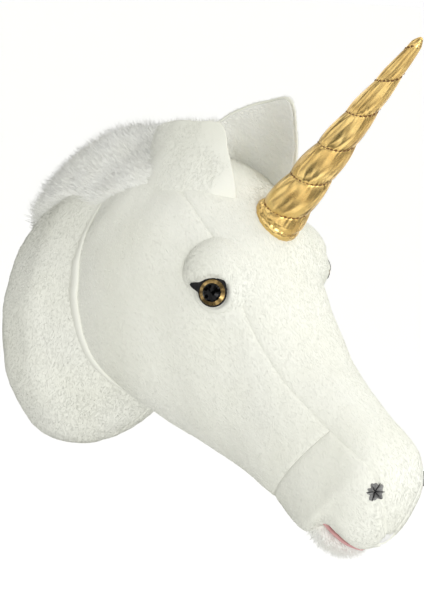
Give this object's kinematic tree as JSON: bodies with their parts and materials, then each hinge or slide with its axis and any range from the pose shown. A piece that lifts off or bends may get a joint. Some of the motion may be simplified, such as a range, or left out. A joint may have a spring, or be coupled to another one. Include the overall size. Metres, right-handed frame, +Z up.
{
  "type": "plush unicorn head",
  "caption": "Wall-hung soft toy unicorn head in white pile cloth, with a stuffed gold horn, two sewn ears, a long-pile mane, safety eyes and a flat back that hangs on a ring.",
  "frame": {"origin": "on the wall plane, in the middle of the lowest part of the collar rim", "axes": "+Z up the wall, +Y into the wall, the head looks along -Y and down; the animal's own right side is -X"},
  "size_m": [0.1946, 0.3605, 0.4064],
  "materials": {
    "plush": "short brushed pile",
    "long_pile": "long straight pile",
    "gold_cloth": "metallic coated satin",
    "horn_thread": "twisted thread",
    "stuffing": "loose polyester fill",
    "gold_iris": "glossy painted ring",
    "black_gloss": "polished dome",
    "black_felt": "cut felt",
    "white_plastic": "moulded, matt",
    "nostril_thread": "gathered cloth and thread",
    "mouth_felt": "soft felt",
    "back_felt": "pressed felt",
    "board": "raw fibreboard",
    "steel": "zinc plated"
  },
  "bodies": {
    "head": {"bridge_gusset": "plush", "chin_gusset": "plush", "head_panel_right": "plush", "head_panel_left": "plush", "muzzle_panel_right": "plush", "muzzle_panel_left": "plush", "neck_panel_right": "plush", "neck_panel_left": "plush", "cheek_welt_right": "plush", "cheek_welt_left": "plush", "brow_pad_right": "plush", "brow_pad_left": "plush", "lower_lip": "long_pile", "mane": "long_pile", "mouth_lining": "mouth_felt", "head_stuffing": "stuffing", "neck_stuffing": "stuffing", "eye_iris_right": "gold_iris", "eye_iris_left": "gold_iris", "eye_pupil_right": "black_gloss", "eye_pupil_left": "black_gloss", "eye_liner_right": "black_felt", "eye_liner_left": "black_felt", "eye_washer_right": "white_plastic", "eye_washer_left": "white_plastic", "nostril_right": "nostril_thread", "nostril_left": "nostril_thread", "back_felt": "back_felt", "back_board": "board", "hanger_plate": "steel", "hanger_screws": "steel"},
    "ear_right": {"ear_outer_right": "plush", "ear_inner_right": "long_pile"},
    "ear_left": {"ear_outer_left": "plush", "ear_inner_left": "long_pile"},
    "horn": {"horn_cover": "gold_cloth", "horn_roll": "gold_cloth", "horn_stitching": "horn_thread", "horn_stuffing": "stuffing"},
    "ring": {"hanger_ring": "steel"}
  },
  "joints": [
    {"name": "ear_right_flex", "type": "hinge", "parent": "head", "child": "ear_right", "pos_m": [-0.03806, -0.1551, 0.2258], "axis": [-0.167, -0.7856, -0.5957], "range_deg": [-3, 14], "stiffness_Nm_per_rad": 0.12},
    {"name": "ear_left_flex", "type": "hinge", "parent": "head", "child": "ear_left", "pos_m": [0.03806, -0.1551, 0.2258], "axis": [-0.167, 0.7856, 0.5957], "range_deg": [-3, 14], "stiffness_Nm_per_rad": 0.12},
    {"name": "horn_flex", "type": "hinge", "parent": "head", "child": "horn", "pos_m": [0, -0.22714, 0.20293], "axis": [1, 0, 0], "range_deg": [-9, 9], "stiffness_Nm_per_rad": 3},
    {"name": "ring_swing", "type": "hinge", "parent": "head", "child": "ring", "pos_m": [0, -0.0031, 0.13262], "axis": [1, 0, 0], "range_deg": [0, 160]}
  ]
}
